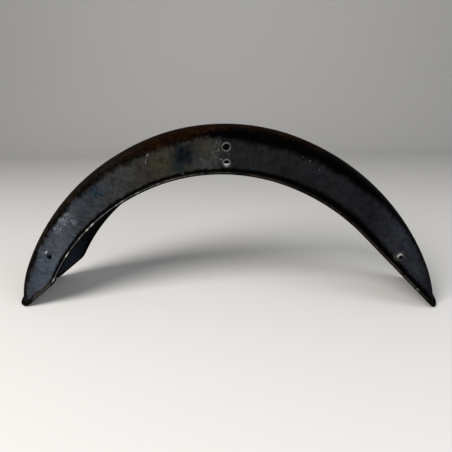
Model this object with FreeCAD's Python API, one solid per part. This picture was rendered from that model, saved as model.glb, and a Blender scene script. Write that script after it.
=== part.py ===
import FreeCAD, Part
import math
import os

# Pressed-steel front mudguard of a motorcycle: one sheet blade with a rolled bead all round its border.
# Lengths are millimetres and angles degrees.
# X runs along the blade towards its pointed end, Y across it and Z up.
# The blade is drawn with the top of its crown at the origin, then set down on its two ends and centred.

# Crown line in side view: a top arc, a wider haunch arc each side and a tighter arc down to each end
TOP_RADIUS = 321.0
TOP_HALF_ANGLE = 21.3
HAUNCH_RADIUS = 368.0
END_TURN_ANGLE = 66.0
END_SWEEP_ANGLE = 40.0
BLUNT_END_RADIUS = 160.0
POINT_END_RADIUS = 200.0

# Cross-section: flat parallel flanks, rounded shoulders and a low crown
WIDTH = 122.0
CROWN_ROUND = 120.0
SHOULDER_ROUND = 20.0
SHEET = 1.2

# Lower border in side view: flanks deepest at the top, a raked blunt end, a long straight taper, level ends
FLANK_DEPTH = 65.8
EDGE_TOP_RADIUS = 267.7
EDGE_HAUNCH_RADIUS = 314.5
BLUNT_CORNER_ANGLE = 63.0
BLUNT_CORNER_ROUND = 9.0
BLUNT_RAKE_ANGLE = 38.6
POINT_TAPER_ANGLE = 45.6
END_DROP = 273.7
END_CORNER_ROUND = 8.0

# Rolled bead along the border, drawn with narrow flats; its centre line lies a little outside the sheet
BEAD_RADIUS = 2.9
BEAD_FLATS = 8
BEAD_OUT = 1.0
BEAD_LEAN_ANGLES = (90.0, 70.0, 54.0, 27.0, 0.0)

# Fork holes, one above the other, and a stay hole near each end, all through both flanks below the crown
FORK_HOLE_D = 8.0
FORK_HOLE_X = 10.0
FORK_HOLE_DROP = 30.0
FORK_HOLE_PITCH = 22.5
STAY_HOLE_D = 6.5
STAY_HOLE_X = 264.0
STAY_HOLE_DROP = 193.5

HALF = WIDTH / 2.0
REACH = 2.0 * HAUNCH_RADIUS
FLANK_REACH = FLANK_DEPTH + 3.0 * SHOULDER_ROUND
ORIGIN = FreeCAD.Vector(0, 0, 0)
ACROSS = FreeCAD.Vector(0, 1, 0)
LEVEL = FreeCAD.Vector(1, 0, 0)
BLUNT = -1
POINT = 1
END_RADIUS = {BLUNT: BLUNT_END_RADIUS, POINT: POINT_END_RADIUS}


def at(x, z, y=0.0):
    return FreeCAD.Vector(x, y, z)


def sin(angle):
    return math.sin(math.radians(angle))


def cos(angle):
    return math.cos(math.radians(angle))


def on_circle(centre, radius, heading):
    """Side-view point on a circle; a heading turns from straight up towards +X."""
    return centre + at(radius * sin(heading), radius * cos(heading))


def along(heading):
    """Side-view direction of a line that follows a circle at a heading."""
    return at(cos(heading), -sin(heading))


def haunch_centre(top_centre, top_radius, haunch_radius, side):
    """Centre of the haunch arc that leaves the top arc tangentially."""
    return on_circle(top_centre, top_radius - haunch_radius, side * TOP_HALF_ANGLE)


CROWN_CENTRE = at(0, -TOP_RADIUS)
EDGE_CENTRE = at(0, -FLANK_DEPTH - EDGE_TOP_RADIUS)
CROWN_HAUNCH = {s: haunch_centre(CROWN_CENTRE, TOP_RADIUS, HAUNCH_RADIUS, s) for s in (BLUNT, POINT)}
CROWN_END = {s: on_circle(c, HAUNCH_RADIUS - END_RADIUS[s], s * END_TURN_ANGLE) for s, c in CROWN_HAUNCH.items()}
EDGE_HAUNCH = {s: haunch_centre(EDGE_CENTRE, EDGE_TOP_RADIUS, EDGE_HAUNCH_RADIUS, s) for s in (BLUNT, POINT)}

# The shoulder round touches both the crown round and the flank
SHOULDER_ACROSS = HALF - SHOULDER_ROUND
SHOULDER_LEAN = math.degrees(math.asin(SHOULDER_ACROSS / (CROWN_ROUND - SHOULDER_ROUND)))
SHOULDER_DROP = CROWN_ROUND - (CROWN_ROUND - SHOULDER_ROUND) * cos(SHOULDER_LEAN)


def section_point(offset, lean):
    """Distance across and drop of an offset skin where its normal leans by an angle from straight up."""
    if lean <= SHOULDER_LEAN:
        radius = CROWN_ROUND + offset
        return radius * sin(lean), CROWN_ROUND - radius * cos(lean)
    radius = SHOULDER_ROUND + offset
    return SHOULDER_ACROSS + radius * sin(lean), SHOULDER_DROP - radius * cos(lean)


def section_skin(offset, depth):
    """Edges of an offset skin at the top of the blade, from one flank's foot over to the other's."""
    def spot(side, lean):
        across, drop = section_point(offset, lean)
        return at(0, -drop, side * across)

    def foot(side):
        return at(0, -depth, side * (HALF + offset))

    mid = (SHOULDER_LEAN + 90.0) / 2.0
    return [
        Part.makeLine(foot(-1), spot(-1, 90.0)),
        Part.Arc(spot(-1, 90.0), spot(-1, mid), spot(-1, SHOULDER_LEAN)).toShape(),
        Part.Arc(spot(-1, SHOULDER_LEAN), spot(1, 0.0), spot(1, SHOULDER_LEAN)).toShape(),
        Part.Arc(spot(1, SHOULDER_LEAN), spot(1, mid), spot(1, 90.0)).toShape(),
        Part.makeLine(spot(1, 90.0), foot(1)),
    ]


def section_face(depth):
    """Sheet section at the top of the blade, with flanks of a depth."""
    edges = section_skin(0.0, depth) + section_skin(-SHEET, depth)
    for side in (-1, 1):
        outer = at(0, -depth, side * HALF)
        edges.append(Part.makeLine(outer, outer - ACROSS * (side * SHEET)))
    return Part.Face(Part.Wire(Part.__sortEdges__(edges)))


def turned(shape, centre, angle):
    copy = shape.copy()
    copy.rotate(centre, ACROSS, angle)
    return copy


def swept_sheet():
    """Sheet that follows the whole crown line, before the border is trimmed."""
    face = section_face(FLANK_REACH)
    sheet = turned(face, CROWN_CENTRE, -TOP_HALF_ANGLE).revolve(CROWN_CENTRE, ACROSS, 2.0 * TOP_HALF_ANGLE)
    pieces = []
    for side in (BLUNT, POINT):
        sweep = side * (END_TURN_ANGLE - TOP_HALF_ANGLE)
        haunch = turned(face, CROWN_CENTRE, side * TOP_HALF_ANGLE)
        pieces.append(haunch.revolve(CROWN_HAUNCH[side], ACROSS, sweep))
        # An end's flanks stay short of the centre of its arc
        end = section_face(min(FLANK_REACH, 0.85 * END_RADIUS[side]))
        end = turned(end, CROWN_CENTRE, side * TOP_HALF_ANGLE)
        end = turned(end, CROWN_HAUNCH[side], sweep)
        pieces.append(end.revolve(CROWN_END[side], ACROSS, side * END_SWEEP_ANGLE))
    return sheet.multiFuse(pieces).removeSplitter()


def end_round(start, direction):
    """Round between a border line and the level end below it: its two touching points and its middle."""
    reach = (start.z + END_DROP) / -direction.z
    corner = start + direction * reach
    outward = LEVEL * (1.0 if direction.x > 0.0 else -1.0)
    trim = END_CORNER_ROUND * math.tan(direction.getAngle(outward) / 2.0)
    level_touch = corner + outward * trim
    return corner - direction * trim, level_touch, level_touch + at(0, END_CORNER_ROUND)


def border_stations():
    """Side-view points and directions of the border, from one level end to the other, blunt end first."""
    centre = EDGE_HAUNCH[BLUNT]
    rake = along(-BLUNT_RAKE_ANGLE)
    up = at(-rake.z, rake.x)
    corner = on_circle(centre, EDGE_HAUNCH_RADIUS, -BLUNT_CORNER_ANGLE)
    # The corner round touches the rake line and the outside of the haunch arc
    lifted = corner + up * BLUNT_CORNER_ROUND - centre
    back = lifted.dot(rake)
    span = (EDGE_HAUNCH_RADIUS + BLUNT_CORNER_ROUND) ** 2 - lifted.dot(lifted)
    middle = centre + lifted - rake * (back + math.sqrt(back * back + span))
    spoke = (middle - centre).normalize()
    round_heading = math.degrees(math.atan2(spoke.x, spoke.z))
    rake_top = middle - up * BLUNT_CORNER_ROUND
    taper = along(POINT_TAPER_ANGLE)
    taper_top = on_circle(EDGE_HAUNCH[POINT], EDGE_HAUNCH_RADIUS, POINT_TAPER_ANGLE)
    rake_touch, blunt_touch, _ = end_round(rake_top, rake * -1.0)
    taper_touch, point_touch, _ = end_round(taper_top, taper)
    return [
        (blunt_touch, LEVEL),
        (rake_touch, rake),
        (rake_top, rake),
        (centre + spoke * EDGE_HAUNCH_RADIUS, along(round_heading)),
        (on_circle(EDGE_CENTRE, EDGE_TOP_RADIUS, -TOP_HALF_ANGLE), along(-TOP_HALF_ANGLE)),
        (on_circle(EDGE_CENTRE, EDGE_TOP_RADIUS, TOP_HALF_ANGLE), along(TOP_HALF_ANGLE)),
        (taper_top, taper),
        (taper_touch, taper),
        (point_touch, LEVEL),
    ]


def border_edge(start, direction, finish):
    """Line or arc that leaves a point in a direction and ends at another point."""
    chord = finish - start
    inward = chord - direction * chord.dot(direction)
    if inward.Length < 1e-6 * chord.Length:
        return Part.makeLine(start, finish)
    radius = chord.dot(chord) / (2.0 * inward.Length)
    centre = start + inward.normalize() * radius
    crest = (start + finish) * 0.5 - centre
    return Part.Arc(start, centre + crest.normalize() * radius, finish).toShape()


def wheel_space(stations):
    """Prism below the border that trims both flanks and both ends of the sheet."""
    first = stations[0][0]
    last = stations[-1][0]
    left = first - LEVEL * REACH
    right = last + LEVEL * REACH
    floor = at(0, -REACH)
    edges = [Part.makeLine(left, first)]
    for (start, direction), (finish, _) in zip(stations, stations[1:]):
        edges.append(border_edge(start, direction, finish))
    edges.append(Part.makeLine(last, right))
    edges.append(Part.makeLine(right, right + floor))
    edges.append(Part.makeLine(right + floor, left + floor))
    edges.append(Part.makeLine(left + floor, left))
    face = Part.Face(Part.Wire(edges))
    face.translate(ACROSS * -WIDTH)
    return face.extrude(ACROSS * (2.0 * WIDTH))


def sheet_point(side, run, drop):
    """Side-view point at a distance along one half from the top arc, below the crown line by a drop."""
    heading = TOP_HALF_ANGLE + math.degrees(run / HAUNCH_RADIUS)
    if heading <= END_TURN_ANGLE:
        return on_circle(CROWN_HAUNCH[side], HAUNCH_RADIUS - drop, side * heading)
    heading = END_TURN_ANGLE + (heading - END_TURN_ANGLE) * HAUNCH_RADIUS / END_RADIUS[side]
    return on_circle(CROWN_END[side], END_RADIUS[side] - drop, side * heading)


def clearance(point, start, direction):
    """Height of a side-view point above a border line, the level end below it and the round between them."""
    line_touch, level_touch, middle = end_round(start, direction)
    from_line = point - line_touch
    if from_line.dot(direction) < 0.0:
        return from_line.dot((middle - line_touch).normalize())
    from_level = point - level_touch
    if from_level.x * direction.x > 0.0:
        return from_level.z
    return END_CORNER_ROUND - (point - middle).Length


def end_point(side, start, direction, lean):
    """Point of the near half where the bead's skin crosses the border at an end, found by halving."""
    across, drop = section_point(BEAD_OUT, lean)
    low = 0.0
    high = HAUNCH_RADIUS * math.radians(END_TURN_ANGLE - TOP_HALF_ANGLE)
    high += END_RADIUS[side] * math.radians(END_SWEEP_ANGLE)
    for _ in range(60):
        middle = (low + high) / 2.0
        if clearance(sheet_point(side, middle, drop), start, direction) > 0.0:
            low = middle
        else:
            high = middle
    return sheet_point(side, low, drop) - ACROSS * across


def end_stations(side, start, direction):
    """Points and directions of the bead over the near half of an end, from the flank to the crown."""
    nudge = 0.01
    stations = []
    for lean in BEAD_LEAN_ANGLES:
        before = end_point(side, start, direction, min(lean + nudge, 90.0))
        after = end_point(side, start, direction, max(lean - nudge, 0.0))
        heading = (after - before).normalize()
        if lean == 90.0:
            heading = at(heading.x, heading.z).normalize()
        if lean == 0.0:
            heading = ACROSS
        stations.append((end_point(side, start, direction, lean), heading))
    return stations


def bead_face(centre, direction, level):
    """Bead section across a direction, with a flat square to a level direction."""
    upright = direction.cross(level)
    corners = []
    for i in range(BEAD_FLATS + 1):
        turn = 360.0 * (i + 0.5) / BEAD_FLATS
        corners.append(centre + (level * cos(turn) + upright * sin(turn)) * BEAD_RADIUS)
    return Part.Face(Part.makePolygon(corners))


def bead_span(start, a, finish, b):
    """Bead pieces from one station to the next: a straight, one arc, or two arcs that share a tangent."""
    chord = finish - start
    leave = a.getAngle(chord)
    if leave < 1e-5:
        return [bead_face(start, a, ACROSS).extrude(chord)]
    if abs(leave - chord.getAngle(b)) < 1e-5:
        axis = a.cross(chord).normalize()
        centre = start + axis.cross(a) * (chord.Length / (2.0 * math.sin(leave)))
        return [bead_face(start, a, axis).revolve(centre, axis, math.degrees(2.0 * leave))]
    both = a + b
    slack = 2.0 * (1.0 - a.dot(b))
    reach = (math.sqrt(chord.dot(both) ** 2 + slack * chord.dot(chord)) - chord.dot(both)) / slack
    first = start + a * reach
    second = finish - b * reach
    c = (second - first).normalize()
    meet = (first + second) * 0.5
    return bead_span(start, a, meet, c) + bead_span(meet, c, finish, b)


def border_bead(stations):
    """Solid round bead along the whole border, as pieces of the near half and their mirror images."""
    shift = ACROSS * -(HALF + BEAD_OUT)
    rake_touch, rake = stations[1]
    taper_touch, taper = stations[-2]
    blunt = end_stations(BLUNT, stations[2][0], rake * -1.0)
    point = end_stations(POINT, stations[-3][0], taper)
    # An end's round begins on the flank only where the flank reaches that far down
    flank = stations[2:-2]
    if (blunt[0][0] - rake_touch).dot(rake) < 0.0:
        flank = [stations[1]] + flank
    if (point[0][0] - taper_touch).dot(taper) > 0.0:
        flank = flank + [stations[-2]]
    line = [(spot, direction * -1.0) for spot, direction in reversed(blunt)]
    line += [(spot + shift, direction) for spot, direction in flank]
    line += point
    pieces = []
    for (start, a), (finish, b) in zip(line, line[1:]):
        pieces += bead_span(start, a, finish, b)
    return pieces + [p.mirror(ORIGIN, ACROSS) for p in pieces]


def drills():
    """Round cutters across both flanks for the fork and stay holes."""
    holes = [
        (FORK_HOLE_D, FORK_HOLE_X, -FORK_HOLE_DROP),
        (FORK_HOLE_D, FORK_HOLE_X, -FORK_HOLE_DROP - FORK_HOLE_PITCH),
        (STAY_HOLE_D, -STAY_HOLE_X, -STAY_HOLE_DROP),
        (STAY_HOLE_D, STAY_HOLE_X, -STAY_HOLE_DROP),
    ]
    return [Part.makeCylinder(d / 2.0, 2.0 * WIDTH, at(x, z, -WIDTH), ACROSS) for d, x, z in holes]


def mudguard():
    stations = border_stations()
    blade = swept_sheet().cut(wheel_space(stations))
    blade = blade.multiFuse(border_bead(stations)).removeSplitter()
    blade = blade.cut(Part.makeCompound(drills()))
    box = blade.optimalBoundingBox(False, False)
    blade.translate(at(-(box.XMin + box.XMax) / 2.0, -box.ZMin))
    return blade.Solids[0]


os.makedirs("parts", exist_ok=True)
mudguard().exportStep("parts/mudguard_blade.step")
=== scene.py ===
import math

import bmesh
import bpy
import numpy as np
from mathutils import Matrix, Vector
from mathutils.kdtree import KDTree


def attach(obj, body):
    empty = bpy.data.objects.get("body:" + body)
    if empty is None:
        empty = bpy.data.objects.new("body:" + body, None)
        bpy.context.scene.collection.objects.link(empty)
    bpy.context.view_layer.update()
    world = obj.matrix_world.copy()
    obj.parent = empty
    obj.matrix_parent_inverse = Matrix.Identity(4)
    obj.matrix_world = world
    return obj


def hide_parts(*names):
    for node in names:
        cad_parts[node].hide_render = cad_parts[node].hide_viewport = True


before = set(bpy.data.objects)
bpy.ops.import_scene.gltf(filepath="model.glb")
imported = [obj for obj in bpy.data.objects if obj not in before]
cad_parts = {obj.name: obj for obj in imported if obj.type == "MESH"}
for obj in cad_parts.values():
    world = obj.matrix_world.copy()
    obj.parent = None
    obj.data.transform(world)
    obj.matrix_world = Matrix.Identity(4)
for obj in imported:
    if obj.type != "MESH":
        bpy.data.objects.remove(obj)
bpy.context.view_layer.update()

# Pressed-steel motorcycle front mudguard: a dense skin in the CAD blade's form, with aged black paint.
# Shapes are worked out in millimetres in the part's frame and stored in metres.
MM = 0.001
TOP_RADIUS = 321.0
TOP_HALF = math.radians(21.3)
HAUNCH_RADIUS = 368.0
END_TURN = math.radians(66.0)
BLUNT_END_RADIUS = 160.0
POINT_END_RADIUS = 200.0
HALF_WIDTH = 61.0
CROWN_ROUND = 120.0
SHOULDER_ROUND = 20.0
SHEET = 1.2
FLANK_DEPTH = 65.8
EDGE_TOP_RADIUS = 267.7
EDGE_HAUNCH_RADIUS = 314.5
BLUNT_CORNER = math.radians(63.0)
BLUNT_CORNER_ROUND = 40.0
BLUNT_RAKE = math.radians(38.6)
POINT_TAPER = math.radians(45.6)
END_DROP = 273.7
END_CORNER_ROUND = 8.0
BEAD_RADIUS = 2.66
BEAD_OUT = 1.0
FORK_HOLE_RADIUS = 4.0
FORK_HOLES = ((10.0, -30.0), (10.0, -52.5))
STAY_HOLE_RADIUS = 3.25
STAY_HOLES = ((-264.0, -193.5), (264.0, -193.5))

# Place of the crown line's top in the part's frame, in X and Z
SHIFT = np.array([-1.1731, 276.6405])

# Lengths and places that follow from the values above
SHOULDER_ACROSS = HALF_WIDTH - SHOULDER_ROUND
SHOULDER_LEAN = math.asin(SHOULDER_ACROSS / (CROWN_ROUND - SHOULDER_ROUND))
SHOULDER_DROP = CROWN_ROUND - (CROWN_ROUND - SHOULDER_ROUND) * math.cos(SHOULDER_LEAN)
CROWN_RUN = CROWN_ROUND * SHOULDER_LEAN
SHOULDER_RUN = SHOULDER_ROUND * (math.pi / 2.0 - SHOULDER_LEAN)
BROW = CROWN_RUN + SHOULDER_RUN
TOP_RUN = TOP_RADIUS * TOP_HALF
TURN_RUN = TOP_RUN + HAUNCH_RADIUS * (END_TURN - TOP_HALF)
HAUNCH_X = (TOP_RADIUS - HAUNCH_RADIUS) * math.sin(TOP_HALF)
HAUNCH_Z = -TOP_RADIUS + (TOP_RADIUS - HAUNCH_RADIUS) * math.cos(TOP_HALF)
DRILL_REACH = 2.0 * HALF_WIDTH

# Fineness of the meshes and of the lines that they follow
ROW_STEP = 2.8
CROWN_COLUMNS = 54
FLANK_COLUMNS = 14
BEAD_SIDES = 14
HOLE_SIDES = 40
LINE_STEP = 0.5
CORNER_STEP = 0.1
CORNER_POINTS = 40
LEVEL_STEP = 0.3
LEVEL_RUN = 60.0
END_POINTS = 160
MERGE_GAP = 0.002
SLIVER = 0.005
SHARP_ANGLE = math.radians(38.0)

# Distances along the crown line from its top, past which the border belongs to an end
BLUNT_END_FROM = -330.0
POINT_END_FROM = 230.0

# Unevenness of the sheet: two waves, each of two crossing ripples with lengths along and round the blade
LEAST_DEPTH = 0.12
WAVE_DEPTH = 0.4
MEAN_SHARE = 0.5
LONG_WAVE = ((41.0, 23.0), (-67.0, 17.0))
LONG_SHARE = 0.4
SHORT_WAVE = ((13.0, -9.0), (19.0, 11.0))
SHORT_SHARE = 0.1

# Camera: its place in metres, and its heading from +Y towards +X, its pitch and its roll in degrees
EYE = (0.0374, -0.6539, 0.2972)
HEADING = -2.987
PITCH = -15.543
ROLL = 1.022
FOCAL_LENGTH = 33.44
SENSOR_WIDTH = 36.0

# Studio, in metres and watts: a floor that bends up into a wall, and lights by place, size, power and colour
FLOOR_FRONT = -4.0
FLOOR_SIDE = 5.0
WALL_FOOT = 2.2
WALL_BEND = 1.6
WALL_TOP = 4.0
BEND_START = 0.1
BEND_STEPS = 12
FLOOR_COLOUR = (0.72, 0.71, 0.69)
FLOOR_ROUGHNESS = 0.9
FLOOR_SHINE = 0.1
LIGHT_AIM = (0.0, 0.0, 0.15)
LIGHTS = {
    "key": ((-1.3, -1.7, 1.6), 1.6, 88.0, (1.0, 0.98, 0.95)),
    "fill": ((1.6, -1.4, 1.2), 1.8, 26.0, (0.95, 0.97, 1.0)),
}
SKY_COLOUR = (0.9, 0.92, 0.95)
SKY_STRENGTH = 0.2

# Finish: linear colours
GLOSS_BLACK = (0.0006, 0.0005, 0.0005)
# Crown colours: tan and brown are a painted reflection, and the rust-brown is partly rust and partly painted
# reflection
CROWN_REFLECTED_TAN = (0.0100, 0.0072, 0.0050)
CROWN_REFLECTED_BROWN = (0.0090, 0.0030, 0.0006)
CROWN_RUST_AND_REFLECTION = (0.0150, 0.0058, 0.0022)
NOSE_FILM = (0.0150, 0.0130, 0.0115)
HAZE_COOL = (0.94, 1.00, 1.05)
HAZE_WARM = (1.04, 1.00, 0.96)
OLIVE_STAIN = (0.0250, 0.0230, 0.0130)
BROWN_STAIN = (0.0330, 0.0205, 0.0125)
VIOLET_FILM = (0.0275, 0.0280, 0.0310)
DARK_SMUDGE = (0.0020, 0.0032, 0.0052)
TEAL_SMUDGE = (0.0050, 0.0100, 0.0100)
GREY_DUST = (0.0270, 0.0280, 0.0235)
BLUE_SMEAR = (0.0030, 0.0075, 0.0125)
BLUE_FILM = (0.0150, 0.0230, 0.0310)
PALE_SCUFF = (0.150, 0.168, 0.195)
PALE_CHIP = (0.105, 0.108, 0.104)
BARE_CHIP = (0.40, 0.39, 0.37)
INSIDE_DARK = (0.0055, 0.0075, 0.0095)
INSIDE_LIGHTER = (0.0260, 0.0360, 0.0520)
INSIDE_RUST = (0.0280, 0.0150, 0.0085)
BEAD_BLACK = (0.0030, 0.0025, 0.0023)
RAKE_DUST = (0.0260, 0.0215, 0.0185)
# Colour of the painted highlights on the bead's bare metal
GLINT = (0.62, 0.61, 0.59)

# What changes along the blade, from its blunt end to its pointed end, at places along X in metres
REACH = (-0.34, 0.34)
# Haze colour, partly the haze and partly painted light: lightest towards the blunt end and darker over the
# pointed half
HAZE_AND_SIDE_LIGHT_STOPS = (
    (-0.330, (0.024, 0.027, 0.036)),
    (-0.300, (0.028, 0.032, 0.041)),
    (-0.282, (0.046, 0.054, 0.070)),
    (-0.245, (0.046, 0.051, 0.063)),
    (-0.212, (0.026, 0.029, 0.034)),
    (-0.125, (0.0245, 0.0240, 0.0220)),
    (-0.095, (0.0200, 0.0180, 0.0145)),
    (-0.010, (0.0240, 0.0240, 0.0222)),
    (0.006, (0.0094, 0.0094, 0.0093)),
    (0.215, (0.0080, 0.0084, 0.0102)),
    (0.245, (0.0150, 0.0160, 0.0200)),
    (0.285, (0.0155, 0.0172, 0.0220)),
    (0.330, (0.0026, 0.0028, 0.0030)),
)
BEAD_WEAR_STOPS = (
    (-0.274, 0.10),
    (-0.263, 0.66),
    (-0.110, 0.62),
    (-0.020, 0.52),
    (0.200, 0.52),
    (0.280, 0.64),
    (0.330, 0.15),
)
# Bare metal colour of the bead: grey towards the blunt end, and brown from the middle towards the pointed end
# as a painted reflection
BEAD_METAL_AND_REFLECTION_STOPS = (
    (-0.300, (0.085, 0.085, 0.083)),
    (-0.100, (0.085, 0.083, 0.078)),
    (0.060, (0.038, 0.028, 0.019)),
    (0.200, (0.034, 0.024, 0.015)),
    (0.285, (0.070, 0.064, 0.055)),
)

# Noise about its middle value: waves a metre, finer layers and how strong those are
NOISE_MIDDLE = 0.5
PATCHES = (38.0, 4.0, 0.55)
MOTTLE = (150.0, 5.0, 0.62)
GRAIN = (560.0, 3.0, 0.60)
TONES = (70.0, 4.0, 0.60)
KNOTS = (62.0, 2.0, 0.50)
STREAKS = (330.0, 4.0, 0.65)
STREAK_STRETCH = (1.0, 0.22, 1.0)
DRIFT = (170.0, 3.0, 0.50)
DRIFT_SWING = 0.009
FLECK_SCALE = 95.0

# Marks on the near flank: X and Z of the middle, half length and half height in metres, then the tilt in
# degrees and the strength
MARK_DEPTH = 0.02
OLIVE_SPOTS = (
    (-0.0900, 0.2260, 0.0210, 0.0200, 0.0, 1.0),
    (-0.0200, 0.2455, 0.0160, 0.0160, 0.0, 1.0),
)
BROWN_SPOTS = (
    (-0.0830, 0.2180, 0.0070, 0.0080, 0.0, 1.0),
    (-0.0740, 0.2260, 0.0060, 0.0070, 0.0, 1.0),
    (-0.1010, 0.2190, 0.0060, 0.0060, 0.0, 1.0),
)
VIOLET_SPOTS = ((-0.0220, 0.2235, 0.0210, 0.0120, 0.0, 1.0),)
BLUISH_SPOTS = ((-0.1817, 0.1838, 0.0150, 0.0110, 0.0, 1.0),)
SCUFF_SPOTS = (
    (-0.2465, 0.1290, 0.0100, 0.0100, 0.0, 1.0),
    (-0.2385, 0.1380, 0.0100, 0.0100, 0.0, 1.0),
    (-0.2285, 0.1455, 0.0120, 0.0100, 0.0, 1.0),
    (-0.2215, 0.1380, 0.0080, 0.0070, 0.0, 1.0),
)
HALO_SPOTS = ((0.2610, 0.0850, 0.0120, 0.0110, 0.0, 1.0),)
SPECKLE_SPOTS = (
    (-0.0045, 0.2410, 0.0080, 0.0280, 8.0, 1.0),
    (0.0100, 0.2380, 0.0130, 0.0190, 0.0, 0.5),
    (0.2870, 0.0640, 0.0170, 0.0180, 0.0, 0.45),
)
DOT_SPOTS = (
    (-0.0025, 0.2425, 0.0022, 0.0030, 0.0, 1.0),
    (-0.0075, 0.2325, 0.0022, 0.0022, 0.0, 1.0),
    (0.0005, 0.2290, 0.0016, 0.0020, 0.0, 1.0),
    (-0.0270, 0.2290, 0.0024, 0.0022, 0.0, 0.7),
)
CHIP_SPOTS = (
    (0.1166, 0.2313, 0.0018, 0.0016, 0.0, 0.35),
    (0.1393, 0.2147, 0.0018, 0.0018, 0.0, 0.4),
    (-0.2693, 0.0912, 0.0026, 0.0024, 0.0, 1.0),
    (-0.1030, 0.2360, 0.0012, 0.0042, 25.0, 0.6),
    (-0.1058, 0.2285, 0.0010, 0.0060, 12.0, 0.5),
)
STAY_CHIP_SPOTS = ((0.2611, 0.0853, 0.0062, 0.0058, 0.0, 1.0),)
# Painted highlights on the bead's bare metal, in the same columns as the marks above
GLINT_SPOTS = (
    (-0.2365, 0.0890, 0.0070, 0.0070, 0.0, 1.0),
    (-0.1920, 0.1350, 0.0070, 0.0070, 0.0, 1.0),
    (-0.2000, 0.1275, 0.0050, 0.0050, 0.0, 0.8),
    (-0.2625, 0.0490, 0.0070, 0.0080, 0.0, 0.7),
    (0.2903, 0.0317, 0.0060, 0.0060, 0.0, 0.8),
)

# Oblong marks on the near flank, as the marks above, but with the softness of the edge last
TEAL_BLOCKS = ((-0.0585, 0.2180, 0.0085, 0.0055, 0.0, 0.5),)
SMUDGE_BLOCKS = ((-0.0515, 0.2365, 0.0122, 0.0130, 0.0, 0.45),)
SMUDGE_RIM_BLOCKS = ((-0.0510, 0.2350, 0.0170, 0.0165, 0.0, 0.6),)
SMEAR_BLOCKS = (
    (-0.1786, 0.1813, 0.0079, 0.0013, 30.0, 0.6),
    (-0.1835, 0.1795, 0.0013, 0.0031, 0.0, 0.6),
    (-0.1888, 0.1881, 0.0026, 0.0014, -35.0, 0.6),
    (-0.1810, 0.1901, 0.0027, 0.0014, 22.0, 0.6),
)

# Rings round holes, in metres: inner radius and outer radius
UPPER_WASHER = (0.0050, 0.0065)
LOWER_WASHER = (0.0040, 0.0060)
UPPER_SHADE = (0.0036, 0.0047)
STAY_SHADE = (0.0028, 0.0041)
STAY_SHADE_RISE = 1.1
RING_SWING = 0.0024
RING_INNER_SOFT = 0.0004
RING_OUTER_SOFT = 0.0005

# Limits: two numbers are where a smooth step starts and ends, and two more are what the value becomes there
HAZE_STREAK_SWING = 0.006
HAZE_PATCH_SWING = 0.008
HAZE_MOTTLE_SWING = 0.010
HAZE_TOP_EDGE = (-0.0135, -0.0015)
HAZE_POINT_LIFT = (0.17, 0.28, 0.0, 0.0125)
HAZE_PEAK = -0.022
HAZE_PEAK_LIFT = (0.004, 0.024, 0.0065, 0.0)
FOOT_BAND = (0.0, 0.21, 0.0056, 0.0105)
FOOT_BAND_POINT = (0.21, 0.27, 0.0, 0.0030)
FOOT_BAND_BLUNT = (-0.275, -0.262, 0.0020, 0.0)
FOOT_SWING = 0.006
FOOT_EDGE = (0.70, 1.50)
FILM_MOTTLE_SHARE = 0.6
FILM_BLOTCH = (0.33, 0.66)
FILM_STRENGTH = (0.0, 1.0, 0.52, 1.14)
FILM_GRAIN = (0.3, 0.7, 0.62, 1.38)
TONE_EDGE = (0.34, 0.66)
NOSE_EDGE = (-0.050, -0.030)
NOSE_REACH = (0.15, 0.24)
NOSE_BLOTCH = (0.35, 0.65, 0.35, 1.0)
CROWN_DIP = (-0.06, 0.02, 0.021, -0.006)
CROWN_SWING = 0.03
CROWN_EDGE = (0.022, 0.046)
CROWN_FADE = (0.10, 0.19)
CROWN_TURN = (-0.17, -0.08)
CROWN_BLOTCH = (0.36, 0.62, 0.2, 1.0)
RUST_AND_REFLECTION_SWING = 0.9
RUST_AND_REFLECTION_BLOTCH = (0.56, 0.70)
RUST_AND_REFLECTION_REACH = (-0.17, -0.09, 0.15, 0.7)
OLIVE_EDGE = (0.0, 0.9)
OLIVE_BLOTCH = (0.38, 0.64, 0.15, 1.0)
OLIVE_GRAIN = (0.3, 0.7, 0.5, 1.0)
BROWN_EDGE = (0.1, 0.7)
BROWN_BLOTCH = (0.42, 0.60)
BROWN_SHARE = 0.6
TEAL_SHARE = 0.75
SMUDGE_BLOTCH = (0.42, 0.64, 1.0, 0.84)
SMUDGE_RIM_SHARE = 0.38
VIOLET_EDGE = (0.0, 0.6)
VIOLET_BLOTCH = (0.36, 0.62, 0.15, 0.8)
BLUISH_EDGE = (0.0, 0.5)
BLUISH_SHARE = 0.7
SMEAR_SHARE = 0.9
SCUFF_EDGE = (0.08, 0.6)
SCUFF_GRAIN_SHARE = 0.45
SCUFF_BLOTCH = (0.46, 0.60)
SCUFF_SHARE = 0.6
HALO_EDGE = (0.0, 0.7)
HALO_BLOTCH = (0.38, 0.62, 0.5, 1.0)
SPECKLE_EDGE = (0.05, 0.6)
SPECKLE_GRAIN = (0.53, 0.64)
SPECKLE_SHARE = 0.5
DOT_EDGE = (0.1, 0.8)
DOT_SHARE = 0.6
FLECK_SIZE = (0.05, 0.10)
FLECK_PICK = (0.86, 0.90)
FLECK_SHARE = 0.55
OUTER_SKIN = (-0.0010, -0.0008)
INNER_SKIN = (-0.0011, -0.0008)
CHIP_EDGE = (0.12, 0.7)
CHIP_BLOTCH = (0.35, 0.60, 0.35, 0.85)
RING_BLOTCH = (0.36, 0.60, 0.25, 0.75)
LIGHTER_START = (-0.320, -0.306)
LIGHTER_END = (-0.300, -0.245)
LIGHTER_SWING = 0.5
INSIDE_BLOTCH = (0.56, 0.68)
INSIDE_RUST_SHARE = 0.6
BEAD_EDGE = (0.00278, 0.00310)
WEAR_PATCH_SWING = 0.9
WEAR_MOTTLE_SWING = 0.5
WEAR_EDGE = (0.32, 0.62)
RUB_SWING = 0.0005
RUB_EDGE = (0.0034, 0.0037)
GLINT_EDGE = (0.0, 0.9)
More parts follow.
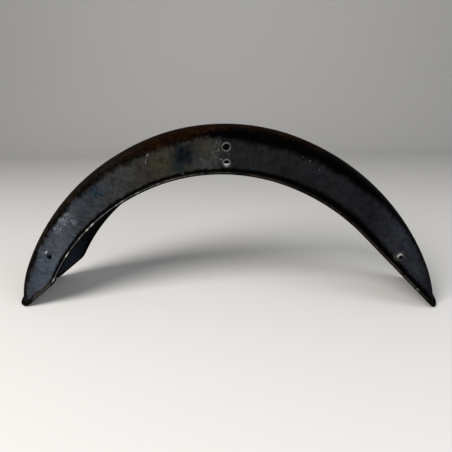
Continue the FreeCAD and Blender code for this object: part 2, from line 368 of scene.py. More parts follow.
GLINT_KNOTS = (0.58, 0.68)
GLINT_KNOT_SHARE = 0.25
DULL_START = (-0.10, -0.02)
DULL_END = (0.26, 0.28)
RAKE_START = (-0.304, -0.296)
RAKE_END = (-0.272, -0.264)
RAKE_TOP = (0.0, 0.006)
WORN_METAL = 0.95
CHIP_METAL = 0.5
PAINT_ROUGHNESS = (0.0, 1.0, 0.56, 0.62)
ROUGHNESS_SWING = 0.16
INSIDE_ROUGHNESS = 0.75
WORN_POLISH = 0.06
PAINT_SHINE = 0.004
RELIEF_GRAIN_SHARE = 0.35
RELIEF_STRENGTH = 0.25
RELIEF_DEPTH = 0.0004


def side_point(t, drop):
    """Side-view place at a distance along the crown line from its top, below the line by a drop."""
    run = np.abs(t)
    end_radius = np.where(t < 0.0, BLUNT_END_RADIUS, POINT_END_RADIUS)
    top = run <= TOP_RUN
    end = run > TURN_RUN
    heading = np.where(top, run / TOP_RADIUS, TOP_HALF + (run - TOP_RUN) / HAUNCH_RADIUS)
    heading = np.where(end, END_TURN + (run - TURN_RUN) / end_radius, heading)
    radius = np.where(top, TOP_RADIUS, np.where(end, end_radius, HAUNCH_RADIUS)) - drop
    lead = np.where(end, HAUNCH_RADIUS - end_radius, 0.0)
    x = np.where(top, 0.0, HAUNCH_X) + lead * math.sin(END_TURN) + radius * np.sin(heading)
    z = np.where(top, -TOP_RADIUS, HAUNCH_Z) + lead * math.cos(END_TURN) + radius * np.cos(heading)
    return np.where(t < 0.0, -x, x), z


def side_place(x, z):
    """Distance along the crown line and drop below it of a side-view point."""
    end_radius = np.where(x < 0.0, BLUNT_END_RADIUS, POINT_END_RADIUS)
    ax = np.abs(x)
    top_heading = np.arctan2(ax, z + TOP_RADIUS)
    top = top_heading <= TOP_HALF
    dx = ax - HAUNCH_X
    dz = z - HAUNCH_Z
    heading = np.arctan2(dx, dz)
    end = heading > END_TURN
    ex = dx - (HAUNCH_RADIUS - end_radius) * math.sin(END_TURN)
    ez = dz - (HAUNCH_RADIUS - end_radius) * math.cos(END_TURN)
    end_run = TURN_RUN + end_radius * (np.arctan2(ex, ez) - END_TURN)
    run = np.where(end, end_run, TOP_RUN + HAUNCH_RADIUS * (heading - TOP_HALF))
    drop = np.where(end, end_radius - np.hypot(ex, ez), HAUNCH_RADIUS - np.hypot(dx, dz))
    t = np.where(top, TOP_RADIUS * top_heading, run)
    drop = np.where(top, TOP_RADIUS - np.hypot(ax, z + TOP_RADIUS), drop)
    return np.where(x < 0.0, -t, t), drop


def section(s, offset):
    """Distance across and drop of an offset skin, by distance along the outer skin from the crown."""
    a = np.abs(s)
    crown = a <= CROWN_RUN
    lean = np.where(crown, a / CROWN_ROUND, SHOULDER_LEAN + (a - CROWN_RUN) / SHOULDER_ROUND)
    lean = np.minimum(lean, math.pi / 2.0)
    radius = np.where(crown, CROWN_ROUND, SHOULDER_ROUND) + offset
    across = np.where(crown, 0.0, SHOULDER_ACROSS) + radius * np.sin(lean)
    drop = np.where(crown, CROWN_ROUND, SHOULDER_DROP) - radius * np.cos(lean)
    drop = drop + np.maximum(a - CROWN_RUN - SHOULDER_RUN, 0.0)
    return np.where(s < 0.0, -across, across), drop


def section_run(drop, offset):
    """Distance along the outer skin from the crown's middle at which an offset skin has a drop."""
    crown = np.arccos(np.clip((CROWN_ROUND - drop) / (CROWN_ROUND + offset), -1.0, 1.0))
    shoulder = np.arccos(np.clip((SHOULDER_DROP - drop) / (SHOULDER_ROUND + offset), 0.0, 1.0))
    on_shoulder = CROWN_RUN + SHOULDER_ROUND * (shoulder - SHOULDER_LEAN)
    run = np.where(crown <= SHOULDER_LEAN, CROWN_ROUND * crown, on_shoulder)
    return np.where(drop > SHOULDER_DROP, CROWN_RUN + SHOULDER_RUN + drop - SHOULDER_DROP, run)


def arc_points(centre, radius, start, finish, step=LINE_STEP):
    """Side-view points along an arc, by its start and finish from straight up."""
    count = max(2, int(abs(finish - start) * radius / step))
    angles = np.linspace(start, finish, count)
    return np.stack([centre[0] + radius * np.sin(angles), centre[1] + radius * np.cos(angles)], 1)


def border_line():
    """Side-view points of the trimmed border from past the blunt tip to past the pointed tip."""
    edge_z = -FLANK_DEPTH - EDGE_TOP_RADIUS
    lead = EDGE_TOP_RADIUS - EDGE_HAUNCH_RADIUS
    blunt = np.array([-lead * math.sin(TOP_HALF), edge_z + lead * math.cos(TOP_HALF)])
    point = np.array([-blunt[0], blunt[1]])
    rake = np.array([math.cos(BLUNT_RAKE), math.sin(BLUNT_RAKE)])
    up = np.array([-rake[1], rake[0]])
    corner = blunt + EDGE_HAUNCH_RADIUS * np.array([-math.sin(BLUNT_CORNER), math.cos(BLUNT_CORNER)])
    lifted = corner + up * BLUNT_CORNER_ROUND - blunt
    back = lifted @ rake
    span = (EDGE_HAUNCH_RADIUS + BLUNT_CORNER_ROUND) ** 2 - lifted @ lifted
    middle = blunt + lifted - rake * (back + math.sqrt(back * back + span))
    spoke = (middle - blunt) / np.linalg.norm(middle - blunt)
    heading = math.atan2(spoke[0], spoke[1])
    taper = np.array([math.cos(POINT_TAPER), -math.sin(POINT_TAPER)])
    taper_top = point + EDGE_HAUNCH_RADIUS * np.array([math.sin(POINT_TAPER), math.cos(POINT_TAPER)])
    rake_top = middle - up * BLUNT_CORNER_ROUND
    from_rake = math.atan2(-up[0], -up[1])
    from_arc = math.atan2(-spoke[0], -spoke[1])
    return np.concatenate([
        end_line(rake_top, -rake)[::-1],
        arc_points(middle, BLUNT_CORNER_ROUND, from_rake, from_arc, CORNER_STEP),
        arc_points(blunt, EDGE_HAUNCH_RADIUS, heading, -TOP_HALF)[1:],
        arc_points((0.0, edge_z), EDGE_TOP_RADIUS, -TOP_HALF, TOP_HALF)[1:],
        arc_points(point, EDGE_HAUNCH_RADIUS, TOP_HALF, POINT_TAPER)[1:],
        end_line(taper_top, taper),
    ])


def end_line(start, direction):
    """Side-view points down a border line, round its lower corner and out along the level end."""
    corner = start + direction * (start[1] + END_DROP) / -direction[1]
    outward = math.copysign(1.0, direction[0])
    turn = math.acos(abs(direction[0]))
    trim = END_CORNER_ROUND * math.tan(turn / 2.0)
    touch = corner - direction * trim
    middle = corner + np.array([outward * trim, END_CORNER_ROUND])
    steps = np.arange(LINE_STEP, np.linalg.norm(touch - start), LINE_STEP)[:, None]
    angles = math.pi + outward * np.linspace(turn, 0.0, CORNER_POINTS)
    bend = middle + END_CORNER_ROUND * np.stack([np.sin(angles), np.cos(angles)], 1)
    past = outward * np.arange(trim + LEVEL_STEP, LEVEL_RUN, LEVEL_STEP)
    level = corner + np.stack([past, np.zeros_like(past)], 1)
    return np.concatenate([start + direction * steps, bend, level])


BORDER = border_line()
BORDER_T, BORDER_DROP = side_place(BORDER[:, 0], BORDER[:, 1])
BLUNT_END = BORDER_T < BLUNT_END_FROM
POINT_END = BORDER_T > POINT_END_FROM


def end_places(drop):
    """Distances along the crown line at which the border has a drop, at the blunt and the pointed end."""
    blunt = np.interp(drop, BORDER_DROP[BLUNT_END], BORDER_T[BLUNT_END])
    point = np.interp(drop, BORDER_DROP[POINT_END][::-1], BORDER_T[POINT_END][::-1])
    return blunt, point


def place(t, s, offset):
    """Point of an offset skin in the part's frame, in millimetres."""
    across, drop = section(s, offset)
    x, z = side_point(t, drop)
    return np.stack(np.broadcast_arrays(x + SHIFT[0], across, z + SHIFT[1]), -1)


def mesh_object(name, points, faces):
    """Object of a mesh with points in millimetres."""
    mesh = bpy.data.meshes.new(name)
    mesh.from_pydata((points * MM).tolist(), [], faces)
    mesh.update()
    piece = bpy.data.objects.new(name, mesh)
    bpy.context.scene.collection.objects.link(piece)
    return piece


def ripples(t, s, lengths):
    """Product of ripples that cross each other."""
    return np.prod([np.sin(t / along + s / across) for along, across in lengths], axis=0)


def unevenness(t, s):
    """Depth by which the pressed sheet lies inside its true form, never outside it."""
    long_wave = LONG_SHARE * ripples(t, s, LONG_WAVE)
    short_wave = SHORT_SHARE * ripples(t, s, SHORT_WAVE)
    return LEAST_DEPTH + WAVE_DEPTH * (MEAN_SHARE + long_wave + short_wave)


def sheet_shell():
    """Closed sheet: an outer and an inner skin on one grid, joined along the border.

    Columns over the crown and shoulders run from end to end; those of each flank close up at both ends.
    """
    across = np.linspace(-BROW, BROW, CROWN_COLUMNS + 1)
    blunt, point = end_places(section(across, 0.0)[1])
    count = int((point - blunt).max() / ROW_STEP) + 1
    share = np.linspace(0.0, 1.0, count)[:, None]
    crown_t = blunt + (point - blunt) * share
    crown_s = np.broadcast_to(across, crown_t.shape)
    flank_t = crown_t[1:-1, :1]
    depth = np.interp(flank_t, BORDER_T, BORDER_DROP) - SHOULDER_DROP
    flank_s = BROW + depth * (np.arange(1, FLANK_COLUMNS + 1) / FLANK_COLUMNS)
    flank_t = np.broadcast_to(flank_t, flank_s.shape)
    t = np.concatenate([crown_t.ravel(), flank_t.ravel(), flank_t.ravel()])
    s = np.concatenate([crown_s.ravel(), -flank_s.ravel(), flank_s.ravel()])
    size = len(t)
    inwards = unevenness(t, s)
    points = np.concatenate([place(t, s, -inwards), place(t, s, -inwards - SHEET)])

    def crown(i, j):
        return i * (CROWN_COLUMNS + 1) + j

    def flank(i, k, side):
        if k == 0 or i in (0, count - 1):
            return crown(i, 0 if side < 0 else CROWN_COLUMNS)
        base = crown(count, 0) + (0 if side < 0 else (count - 2) * FLANK_COLUMNS)
        return base + (i - 1) * FLANK_COLUMNS + k - 1

    quads = []
    for i in range(count - 1):
        for j in range(CROWN_COLUMNS):
            quads.append((crown(i, j), crown(i + 1, j), crown(i + 1, j + 1), crown(i, j + 1)))
        for k in range(FLANK_COLUMNS):
            quads.append((flank(i, k, 1), flank(i + 1, k, 1), flank(i + 1, k + 1, 1), flank(i, k + 1, 1)))
            quads.append((flank(i, k + 1, -1), flank(i + 1, k + 1, -1), flank(i + 1, k, -1), flank(i, k, -1)))
    skin = [tuple(dict.fromkeys(q)) for q in quads]
    skin = [f for f in skin if len(f) > 2]
    faces = skin + [tuple(v + size for v in f[::-1]) for f in skin]
    loop = [flank(i, FLANK_COLUMNS, -1) for i in range(count)]
    loop += [crown(count - 1, j) for j in range(1, CROWN_COLUMNS)]
    loop += [flank(i, FLANK_COLUMNS, 1) for i in range(count - 1, -1, -1)]
    loop += [crown(0, j) for j in range(CROWN_COLUMNS - 1, 0, -1)]
    for a, b in zip(loop, loop[1:] + loop[:1]):
        faces.append((b, a, a + size, b + size))
    return mesh_object("mudguard", points, faces)


def bead_line(step):
    """Evenly spaced centre points of the border bead and the sheet's outward direction at each of them."""
    near = BORDER_DROP >= SHOULDER_DROP
    t = BORDER_T[near]
    s = -section_run(BORDER_DROP[near], 0.0)
    ends = np.linspace(BROW, 0.0, END_POINTS)
    drops = section(ends, BEAD_OUT)[1]
    blunt, point = end_places(drops)
    t = np.concatenate([blunt[::-1], t, point])
    s = np.concatenate([-ends[::-1], s, -ends])
    half = place(t, s, BEAD_OUT)
    outward = half - place(t, s, 0.0)
    mirror = np.array([1.0, -1.0, 1.0])
    loop = np.concatenate([half, (half * mirror)[-2:0:-1]])
    outward = np.concatenate([outward, (outward * mirror)[-2:0:-1]])
    closed = np.concatenate([loop, loop[:1]])
    length = np.concatenate([[0.0], np.cumsum(np.linalg.norm(np.diff(closed, axis=0), axis=1))])
    even = np.linspace(0.0, length[-1], int(length[-1] / step) + 1)[:-1]
    wrap = np.concatenate([outward, outward[:1]])
    points = np.stack([np.interp(even, length, closed[:, k]) for k in range(3)], 1)
    normals = np.stack([np.interp(even, length, wrap[:, k]) for k in range(3)], 1)
    return points, normals


def bead_tube():
    """Closed round bar along the whole border."""
    points, normals = bead_line(ROW_STEP)
    ahead = np.roll(points, -1, 0) - np.roll(points, 1, 0)
    ahead /= np.linalg.norm(ahead, axis=1)[:, None]
    normals -= ahead * (normals * ahead).sum(1)[:, None]
    normals /= np.linalg.norm(normals, axis=1)[:, None]
    aside = np.cross(ahead, normals)
    turn = np.arange(BEAD_SIDES) * 2.0 * math.pi / BEAD_SIDES
    ring = normals[:, None] * np.cos(turn)[None, :, None] + aside[:, None] * np.sin(turn)[None, :, None]
    body = (points[:, None] + BEAD_RADIUS * ring).reshape(-1, 3)
    count = len(points)
    faces = []
    for i in range(count):
        for j in range(BEAD_SIDES):
            a = i * BEAD_SIDES + j
            b = i * BEAD_SIDES + (j + 1) % BEAD_SIDES
            c = (i + 1) % count * BEAD_SIDES + (j + 1) % BEAD_SIDES
            d = (i + 1) % count * BEAD_SIDES + j
            faces.append((a, b, c, d))
    return mesh_object("bead", body, faces)


def drills():
    """Round bars across both flanks, one for each pair of holes."""
    points = []
    faces = []
    turn = np.arange(HOLE_SIDES) * 2.0 * math.pi / HOLE_SIDES
    holes = [(FORK_HOLE_RADIUS, *hole) for hole in FORK_HOLES]
    holes += [(STAY_HOLE_RADIUS, *hole) for hole in STAY_HOLES]
    for radius, x, z in holes:
        base = len(points)
        for y in (-DRILL_REACH, DRILL_REACH):
            for a in turn:
                points.append((x + SHIFT[0] + radius * math.cos(a), y, z + SHIFT[1] + radius * math.sin(a)))
        low = [base + i for i in range(HOLE_SIDES)]
        high = [base + HOLE_SIDES + i for i in range(HOLE_SIDES)]
        faces += [tuple(low), tuple(high[::-1])]
        for i in range(HOLE_SIDES):
            j = (i + 1) % HOLE_SIDES
            faces.append((low[j], low[i], high[i], high[j]))
    return mesh_object("drills", np.array(points), faces)


def combine(piece, other, operation):
    """Joins another closed mesh to a piece, or cuts it out, and removes the other."""
    step = piece.modifiers.new(operation.lower(), "BOOLEAN")
    step.operation = operation
    step.solver = "MANIFOLD"
    step.object = other
    result = bpy.data.meshes.new_from_object(piece.evaluated_get(bpy.context.evaluated_depsgraph_get()))
    piece.modifiers.clear()
    old = piece.data
    piece.data = result
    bpy.data.meshes.remove(old)
    bpy.data.objects.remove(other)


def clean(piece):
    """Removes doubled points, slivers and idle points along edges that joining and cutting leave."""
    kit = bmesh.new()
    kit.from_mesh(piece.data)
    bmesh.ops.remove_doubles(kit, verts=kit.verts, dist=MERGE_GAP * MM)
    bmesh.ops.dissolve_degenerate(kit, dist=SLIVER * MM, edges=kit.edges)
    bmesh.ops.dissolve_verts(kit, verts=[v for v in kit.verts if len(v.link_edges) == 2])
    kit.to_mesh(piece.data)
    kit.free()


def skin_places(points):
    """Distance along the blade, distance round its section and outward offset of points."""
    t, drop = side_place(points[:, 0] - SHIFT[0], points[:, 2] - SHIFT[1])
    across = np.abs(points[:, 1])
    crown_lean = np.arctan2(across, CROWN_ROUND - drop)
    lean = np.arctan2(across - SHOULDER_ACROSS, SHOULDER_DROP - drop)
    crown = crown_lean <= SHOULDER_LEAN
    flank = drop > SHOULDER_DROP
    s = np.where(crown, CROWN_ROUND * crown_lean, CROWN_RUN + SHOULDER_ROUND * (lean - SHOULDER_LEAN))
    s = np.where(flank, BROW + drop - SHOULDER_DROP, s)
    shoulder_offset = np.hypot(across - SHOULDER_ACROSS, SHOULDER_DROP - drop) - SHOULDER_ROUND
    offset = np.where(crown, np.hypot(across, CROWN_ROUND - drop) - CROWN_ROUND, shoulder_offset)
    offset = np.where(flank, across - HALF_WIDTH, offset)
    return np.stack([t, np.copysign(s, points[:, 1]), offset], 1)


def bead_distance(points):
    """Distance of points from the bead's centre line."""
    line = bead_line(LINE_STEP)[0]
    tree = KDTree(len(line))
    for i, p in enumerate(line):
        tree.insert(p, i)
    tree.balance()
    return np.array([tree.find(p)[2] for p in points])


def mark(piece, name, kind, field, values):
    """Stores a value for each point of a piece, in metres, for its material."""
    layer = piece.data.attributes.new(name, kind, "POINT")
    layer.data.foreach_set(field, (values * MM).astype(np.float32).ravel())


blade = sheet_shell()
combine(blade, bead_tube(), "UNION")
combine(blade, drills(), "DIFFERENCE")
clean(blade)
blade.data.name = "mudguard"
blade.data.shade_smooth()
blade.data.set_sharp_from_angle(angle=SHARP_ANGLE)
corners = np.array([v.co for v in blade.data.vertices]) / MM
mark(blade, "skin", "FLOAT_VECTOR", "vector", skin_places(corners))
mark(blade, "hug", "FLOAT", "value", bead_distance(corners))

# Aged black paint, whose colour also holds painted light: a reflection on the crown, light along the flanks
# and highlights on the bead
paint = bpy.data.materials.new("aged_black_paint_and_painted_light")
paint.use_nodes = True
tree = paint.node_tree
shader = tree.nodes["Principled BSDF"]


def node(kind, **settings):
    made = tree.nodes.new(kind)
    for key, value in settings.items():
        setattr(made, key, value)
    return made


def feed(socket, value):
    """Links a socket to another one, or sets its value."""
    if isinstance(value, bpy.types.NodeSocket):
        tree.links.new(value, socket)
    elif isinstance(value, tuple) and socket.type == "RGBA":
        socket.default_value = (*value, 1.0)
    else:
        socket.default_value = value


def calc(operation, a, b=0.0, clamp=False):
    made = node("ShaderNodeMath", operation=operation, use_clamp=clamp)
    feed(made.inputs[0], a)
    feed(made.inputs[1], b)
    return made.outputs[0]


def plus(first, *others):
    for other in others:
        first = calc("ADD", first, other)
    return first


def times(first, *others):
    for other in others:
        first = calc("MULTIPLY", first, other)
    return first


def most(first, *others):
    for other in others:
        first = calc("MAXIMUM", first, other)
    return first


def less(a, b):
    return calc("SUBTRACT", a, b)


def flip(value):
    return less(1.0, value)


def both(a, b, share):
    """Two values in shares that add up to one."""
    return plus(times(a, share), times(b, 1.0 - share))


def scale_to(value, low, high, out_low, out_high, smooth=True):
    """Value carried from one range to another and held at both ends."""
    made = node("ShaderNodeMapRange", interpolation_type="SMOOTHSTEP" if smooth else "LINEAR")
    feed(made.inputs["Value"], value)
    feed(made.inputs["From Min"], low)
    feed(made.inputs["From Max"], high)
    feed(made.inputs["To Min"], out_low)
    feed(made.inputs["To Max"], out_high)
    return made.outputs["Result"]


def rise(value, low, high):
    """0 below one value, 1 above another and a smooth step between them."""
    return scale_to(value, low, high, 0.0, 1.0)


def fall(value, low, high):
    """1 below one value, 0 above another and a smooth step between them."""
    return flip(rise(value, low, high))


def sway(value, amount):
    """Noise value as a swing of an amount about zero."""
    return times(less(value, NOISE_MIDDLE), amount)


def noise(vector, scale, detail, roughness):
    """Noise at a place: its value and its colour."""
    made = node("ShaderNodeTexNoise")
    feed(made.inputs["Vector"], vector)
    made.inputs["Scale"].default_value = scale
    made.inputs["Detail"].default_value = detail
    made.inputs["Roughness"].default_value = roughness
    return made.outputs


def blend(share, a, b, way="MIX"):
    """Colour between two others by a share, or the two joined in another way."""
    made = node("ShaderNodeMix", data_type="RGBA", blend_type=way)
    feed(made.inputs[0], share)
    feed(made.inputs[6], a)
    feed(made.inputs[7], b)
    return made.outputs[2]


def ramp(value, low, high, stops):
    """Colour that follows a list of places and colours along a value."""
    made = node("ShaderNodeValToRGB")
    feed(made.inputs[0], scale_to(value, low, high, 0.0, 1.0, smooth=False))
    elements = made.color_ramp.elements
    while len(elements) < len(stops):
        elements.new(0.5)
    for element, (stop_at, colour_there) in zip(elements, stops):
        element.position = (stop_at - low) / (high - low)
        element.color = (*colour_there, 1.0)
    return made.outputs[0]


def split(vector):
    made = node("ShaderNodeSeparateXYZ")
    feed(made.inputs[0], vector)
    return made.outputs


def vector_calc(operation, *values):
    made = node("ShaderNodeVectorMath", operation=operation)
    for socket, value in zip(made.inputs, values):
        feed(socket, value)
    return made.outputs


# Places on the blade: along X, round the section from the brow, off the outer skin and from the bead's middle
own = node("ShaderNodeTexCoord").outputs["Object"]
skin = node("ShaderNodeAttribute", attribute_name="skin").outputs["Vector"]
hug = node("ShaderNodeAttribute", attribute_name="hug").outputs["Fac"]
_, around, offset = split(skin)
reach = split(own)[0]
brow = less(calc("ABSOLUTE", around), BROW * MM)

patches = noise(own, *PATCHES)[0]
mottle = noise(own, *MOTTLE)[0]
grain = noise(own, *GRAIN)[0]
tones = noise(own, *TONES)[0]
knots = noise(own, *KNOTS)[0]
fibres = node("ShaderNodeMapping")
feed(fibres.inputs["Vector"], skin)
fibres.inputs["Scale"].default_value = STREAK_STRETCH
streaks = noise(fibres.outputs[0], *STREAKS)[0]
drift = noise(own, *DRIFT)[1]
ragged = vector_calc("MULTIPLY_ADD", drift, (DRIFT_SWING,) * 3, own)[0]
ragged = vector_calc("SUBTRACT", ragged, (DRIFT_SWING / 2.0,) * 3)[0]


def within(vector, x, z, half_long, half_high, tilt):
    """Place on the near flank in the frame of a mark, whose edge lies at 1."""
    made = node("ShaderNodeMapping", vector_type="TEXTURE")
    feed(made.inputs["Vector"], vector)
    made.inputs["Location"].default_value = (x, -HALF_WIDTH * MM, z)
    made.inputs["Rotation"].default_value = (0.0, math.radians(tilt), 0.0)
    made.inputs["Scale"].default_value = (half_long, MARK_DEPTH, half_high)
    return made.outputs[0]


def spots(marks, vector=ragged):
    """Soft ellipses on the near flank: full strength in the middle of each, 0 at its edge and beyond."""
    found = []
    for *shape, strength in marks:
        ball = node("ShaderNodeTexGradient", gradient_type="SPHERICAL")
        feed(ball.inputs[0], within(vector, *shape))
        found.append(times(ball.outputs[1], strength))
    return most(*found)


def blocks(marks):
    """Soft-edged oblongs on the near flank: 1 inside, 0 outside."""
    found = []
    for *shape, soft in marks:
        sides = [calc("ABSOLUTE", side) for side in split(within(ragged, *shape))]
        found.append(fall(most(*sides), 1.0 - soft, 1.0 + soft))
    return most(*found)


def hole_ring(hole, inner, outer):
    """Ring round a hole in both flanks."""
    x, z = hole
    middle = ((x + SHIFT[0]) * MM, 0.0, (z + SHIFT[1]) * MM)
    flat = vector_calc("MULTIPLY", own, (1.0, 0.0, 1.0))[0]
    gap = plus(vector_calc("DISTANCE", flat, middle)["Value"], sway(mottle, RING_SWING))
    outside = rise(gap, inner - RING_INNER_SOFT, inner)
    return times(outside, fall(gap, outer - RING_OUTER_SOFT, outer + RING_OUTER_SOFT))


# Haze: a dull film on the flanks that stops raggedly on the shoulder and short of the bead
haze_top = plus(
    brow,
    sway(streaks, HAZE_STREAK_SWING),
    sway(patches, HAZE_PATCH_SWING),
    sway(mottle, HAZE_MOTTLE_SWING),
    scale_to(reach, *HAZE_POINT_LIFT),
    scale_to(calc("ABSOLUTE", less(reach, HAZE_PEAK)), *HAZE_PEAK_LIFT),
)
band = less(scale_to(reach, *FOOT_BAND), scale_to(reach, *FOOT_BAND_POINT))
band = less(band, scale_to(reach, *FOOT_BAND_BLUNT))
haze_foot = calc("DIVIDE", plus(hug, sway(mottle, FOOT_SWING)), band)
haze = times(rise(haze_top, *HAZE_TOP_EDGE), rise(haze_foot, *FOOT_EDGE))
film = rise(both(mottle, patches, FILM_MOTTLE_SHARE), *FILM_BLOTCH)
film = scale_to(film, *FILM_STRENGTH, smooth=False)
film = times(film, scale_to(grain, *FILM_GRAIN, smooth=False))
tint = blend(rise(tones, *TONE_EDGE), HAZE_COOL, HAZE_WARM)
# The haze colour is partly the haze and partly painted light, lighter towards the blunt end and darker
# towards the pointed end
haze_and_light_colour = blend(1.0, ramp(reach, *REACH, HAZE_AND_SIDE_LIGHT_STOPS), tint, "MULTIPLY")
haze_and_light_colour = blend(1.0, haze_and_light_colour, film, "MULTIPLY")

# Crown: black paint with a painted reflection in tan and brown towards the blunt end, rust-brown blotches
# that are partly rust and partly painted reflection, and worn to a film at the pointed end
worn_nose = times(fall(brow, *NOSE_EDGE), rise(reach, *NOSE_REACH), scale_to(mottle, *NOSE_BLOTCH))
height = less(scale_to(reach, *CROWN_DIP), brow)
crown = times(rise(plus(height, sway(patches, CROWN_SWING)), *CROWN_EDGE), fall(reach, *CROWN_FADE))
crown_reflection_colour = blend(rise(reach, *CROWN_TURN), CROWN_REFLECTED_TAN, CROWN_REFLECTED_BROWN)
rust_and_reflection = times(crown, rise(plus(mottle, sway(patches, RUST_AND_REFLECTION_SWING)), *RUST_AND_REFLECTION_BLOTCH))
colour = blend(worn_nose, GLOSS_BLACK, NOSE_FILM)
colour = blend(times(crown, scale_to(mottle, *CROWN_BLOTCH)), colour, crown_reflection_colour)
colour = blend(times(rust_and_reflection, scale_to(reach, *RUST_AND_REFLECTION_REACH)), colour, CROWN_RUST_AND_REFLECTION)
colour = blend(haze, colour, haze_and_light_colour)

# Stains and smudges on the near flank
olive = rise(spots(OLIVE_SPOTS), *OLIVE_EDGE)
olive = times(olive, scale_to(mottle, *OLIVE_BLOTCH), scale_to(grain, *OLIVE_GRAIN))
colour = blend(times(olive, haze), colour, OLIVE_STAIN)
brown = times(rise(spots(BROWN_SPOTS), *BROWN_EDGE), rise(mottle, *BROWN_BLOTCH))
colour = blend(times(brown, BROWN_SHARE), colour, BROWN_STAIN)
colour = blend(times(blocks(TEAL_BLOCKS), TEAL_SHARE), colour, TEAL_SMUDGE)
smudge = times(blocks(SMUDGE_BLOCKS), scale_to(mottle, *SMUDGE_BLOTCH))
smudge = most(smudge, times(blocks(SMUDGE_RIM_BLOCKS), SMUDGE_RIM_SHARE))
colour = blend(smudge, colour, DARK_SMUDGE)
violet = times(rise(spots(VIOLET_SPOTS), *VIOLET_EDGE), haze, scale_to(mottle, *VIOLET_BLOTCH))
colour = blend(violet, colour, VIOLET_FILM)
bluish = rise(spots(BLUISH_SPOTS), *BLUISH_EDGE)
colour = blend(times(bluish, BLUISH_SHARE), colour, BLUE_FILM)
colour = blend(times(blocks(SMEAR_BLOCKS), SMEAR_SHARE), colour, BLUE_SMEAR)

# Scuffs, dust, speckles and flecks
scuff_grain = rise(both(grain, mottle, SCUFF_GRAIN_SHARE), *SCUFF_BLOTCH)
scuffs = times(rise(spots(SCUFF_SPOTS), *SCUFF_EDGE), scuff_grain)
colour = blend(times(scuffs, SCUFF_SHARE), colour, PALE_SCUFF)
halo = times(rise(spots(HALO_SPOTS), *HALO_EDGE), scale_to(mottle, *HALO_BLOTCH))
colour = blend(halo, colour, GREY_DUST)
speckle = times(rise(spots(SPECKLE_SPOTS), *SPECKLE_EDGE), rise(grain, *SPECKLE_GRAIN))
dots = rise(spots(DOT_SPOTS), *DOT_EDGE)
colour = blend(most(times(speckle, SPECKLE_SHARE), times(dots, DOT_SHARE)), colour, PALE_CHIP)
cells = node("ShaderNodeTexVoronoi")
feed(cells.inputs["Vector"], own)
cells.inputs["Scale"].default_value = FLECK_SCALE
flecks = times(
    fall(cells.outputs["Distance"], *FLECK_SIZE),
    rise(split(cells.outputs["Color"])[0], *FLECK_PICK),
    rise(offset, *OUTER_SKIN),
)
colour = blend(times(flecks, FLECK_SHARE), colour, PALE_CHIP)

# Washer marks and shaded rims round the holes, and chips down to bare metal
upper_hole, lower_hole = FORK_HOLES
blunt_hole = (STAY_HOLES[0][0], STAY_HOLES[0][1] + STAY_SHADE_RISE)
rings = most(hole_ring(upper_hole, *UPPER_WASHER), hole_ring(lower_hole, *LOWER_WASHER))
colour = blend(times(rings, scale_to(mottle, *RING_BLOTCH)), colour, PALE_CHIP)
shade = most(hole_ring(upper_hole, *UPPER_SHADE), hole_ring(blunt_hole, *STAY_SHADE))
colour = blend(shade, colour, GLOSS_BLACK)
bare = rise(most(spots(CHIP_SPOTS), spots(STAY_CHIP_SPOTS, own)), *CHIP_EDGE)
bare = times(bare, scale_to(mottle, *CHIP_BLOTCH))
colour = blend(bare, colour, BARE_CHIP)

# Inside: flat dark paint, lighter and bluer near the blunt end, with rust blooms
inside = fall(offset, *INNER_SKIN)
lighter_end = times(fall(reach, *LIGHTER_END), rise(reach, *LIGHTER_START))
lighter_end = calc("ADD", lighter_end, sway(patches, LIGHTER_SWING), clamp=True)
inner_colour = blend(lighter_end, INSIDE_DARK, INSIDE_LIGHTER)
inner_colour = blend(times(rise(mottle, *INSIDE_BLOTCH), INSIDE_RUST_SHARE), inner_colour, INSIDE_RUST)
colour = blend(inside, colour, inner_colour)

# Bead: rubbed down to metal, with a painted brown reflection on the metal from the middle towards the pointed
# end, and black with dust on the rake
bead = fall(hug, *BEAD_EDGE)
wear = split(ramp(reach, *REACH, [(stop_at, (share,) * 3) for stop_at, share in BEAD_WEAR_STOPS]))[0]
wear = plus(wear, sway(patches, WEAR_PATCH_SWING), sway(mottle, WEAR_MOTTLE_SWING))
rubbed = rise(plus(offset, sway(mottle, RUB_SWING)), *RUB_EDGE)
worn = times(rise(wear, *WEAR_EDGE), bead, rubbed)
# Glints: painted highlights at given places and at random knots, kept off the span with the painted brown
# reflection
glints = rise(spots(GLINT_SPOTS, own), *GLINT_EDGE)
glints = most(glints, times(rise(knots, *GLINT_KNOTS), GLINT_KNOT_SHARE))
brown_reflection_span = times(rise(reach, *DULL_START), fall(reach, *DULL_END))
metal = blend(times(glints, flip(brown_reflection_span)), ramp(reach, *REACH, BEAD_METAL_AND_REFLECTION_STOPS), GLINT)
rake = times(fall(reach, *RAKE_END), rise(reach, *RAKE_START), rise(brow, *RAKE_TOP))
colour = blend(bead, colour, blend(rake, BEAD_BLACK, RAKE_DUST))
colour = blend(worn, colour, metal)

feed(shader.inputs["Base Color"], colour)
feed(shader.inputs["Metallic"], most(times(worn, WORN_METAL), times(bare, CHIP_METAL)))
dull = plus(scale_to(haze, *PAINT_ROUGHNESS, smooth=False), sway(mottle, ROUGHNESS_SWING))
dull = most(dull, times(inside, INSIDE_ROUGHNESS))
feed(shader.inputs["Roughness"], less(dull, times(worn, WORN_POLISH)))
shader.inputs["Specular IOR Level"].default_value = PAINT_SHINE
relief = node("ShaderNodeBump")
relief.inputs["Strength"].default_value = RELIEF_STRENGTH
relief.inputs["Distance"].default_value = RELIEF_DEPTH
feed(relief.inputs["Height"], both(grain, mottle, RELIEF_GRAIN_SHARE))
feed(shader.inputs["Normal"], relief.outputs[0])

blade.data.materials.clear()
blade.data.materials.append(paint)
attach(blade, "root")
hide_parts("mudguard_blade")

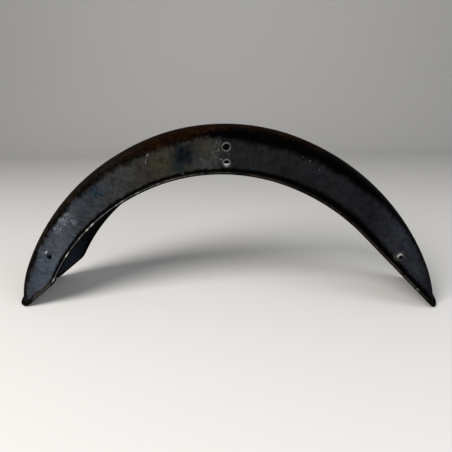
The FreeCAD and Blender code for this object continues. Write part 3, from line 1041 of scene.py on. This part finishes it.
# Camera before the near flank and a little above it, so that a part of the crown is seen
lens = bpy.data.cameras.new("camera")
lens.sensor_fit = "HORIZONTAL"
lens.sensor_width = SENSOR_WIDTH
lens.lens = FOCAL_LENGTH
camera = bpy.data.objects.new("camera", lens)
bpy.context.scene.collection.objects.link(camera)
turn = Matrix.Rotation(math.radians(-HEADING), 4, "Z") @ Matrix.Rotation(math.radians(90.0 + PITCH), 4, "X")
camera.matrix_world = Matrix.Translation(EYE) @ turn @ Matrix.Rotation(math.radians(-ROLL), 4, "Z")
bpy.context.scene.camera = camera


def backdrop():
    """Pale floor that curves up into a pale wall well behind the blade."""
    bend = np.linspace(BEND_START, math.pi / 2.0, BEND_STEPS)
    profile = [(FLOOR_FRONT, 0.0), (WALL_FOOT, 0.0)]
    profile += [(WALL_FOOT + WALL_BEND * math.sin(a), WALL_BEND - WALL_BEND * math.cos(a)) for a in bend]
    profile += [(WALL_FOOT + WALL_BEND, WALL_TOP)]
    points = []
    faces = []
    for i, (y, z) in enumerate(profile):
        points += [(-FLOOR_SIDE, y, z), (FLOOR_SIDE, y, z)]
        if i:
            faces.append((2 * i - 2, 2 * i - 1, 2 * i + 1, 2 * i))
    mesh = bpy.data.meshes.new("floor")
    mesh.from_pydata(points, [], faces)
    mesh.shade_smooth()
    floor = bpy.data.objects.new("floor", mesh)
    bpy.context.scene.collection.objects.link(floor)
    grey = bpy.data.materials.new("pale_floor")
    grey.use_nodes = True
    cover = grey.node_tree.nodes["Principled BSDF"]
    cover.inputs["Base Color"].default_value = (*FLOOR_COLOUR, 1.0)
    cover.inputs["Roughness"].default_value = FLOOR_ROUGHNESS
    cover.inputs["Specular IOR Level"].default_value = FLOOR_SHINE
    mesh.materials.append(grey)


def area_light(name, stand, size, power, tone):
    """Round soft light aimed at the middle of the blade."""
    lamp = bpy.data.lights.new(name, "AREA")
    lamp.shape = "DISK"
    lamp.size = size
    lamp.energy = power
    lamp.color = tone
    light = bpy.data.objects.new(name, lamp)
    light.location = stand
    light.rotation_euler = (Vector(LIGHT_AIM) - Vector(stand)).to_track_quat("-Z", "Y").to_euler()
    bpy.context.scene.collection.objects.link(light)


backdrop()
for light_name, light_values in LIGHTS.items():
    area_light(light_name, *light_values)
world = bpy.data.worlds.new("studio")
world.use_nodes = True
sky = world.node_tree.nodes["Background"]
sky.inputs["Color"].default_value = (*SKY_COLOUR, 1.0)
sky.inputs["Strength"].default_value = SKY_STRENGTH
bpy.context.scene.world = world
bpy.context.scene.view_settings.view_transform = "Standard"
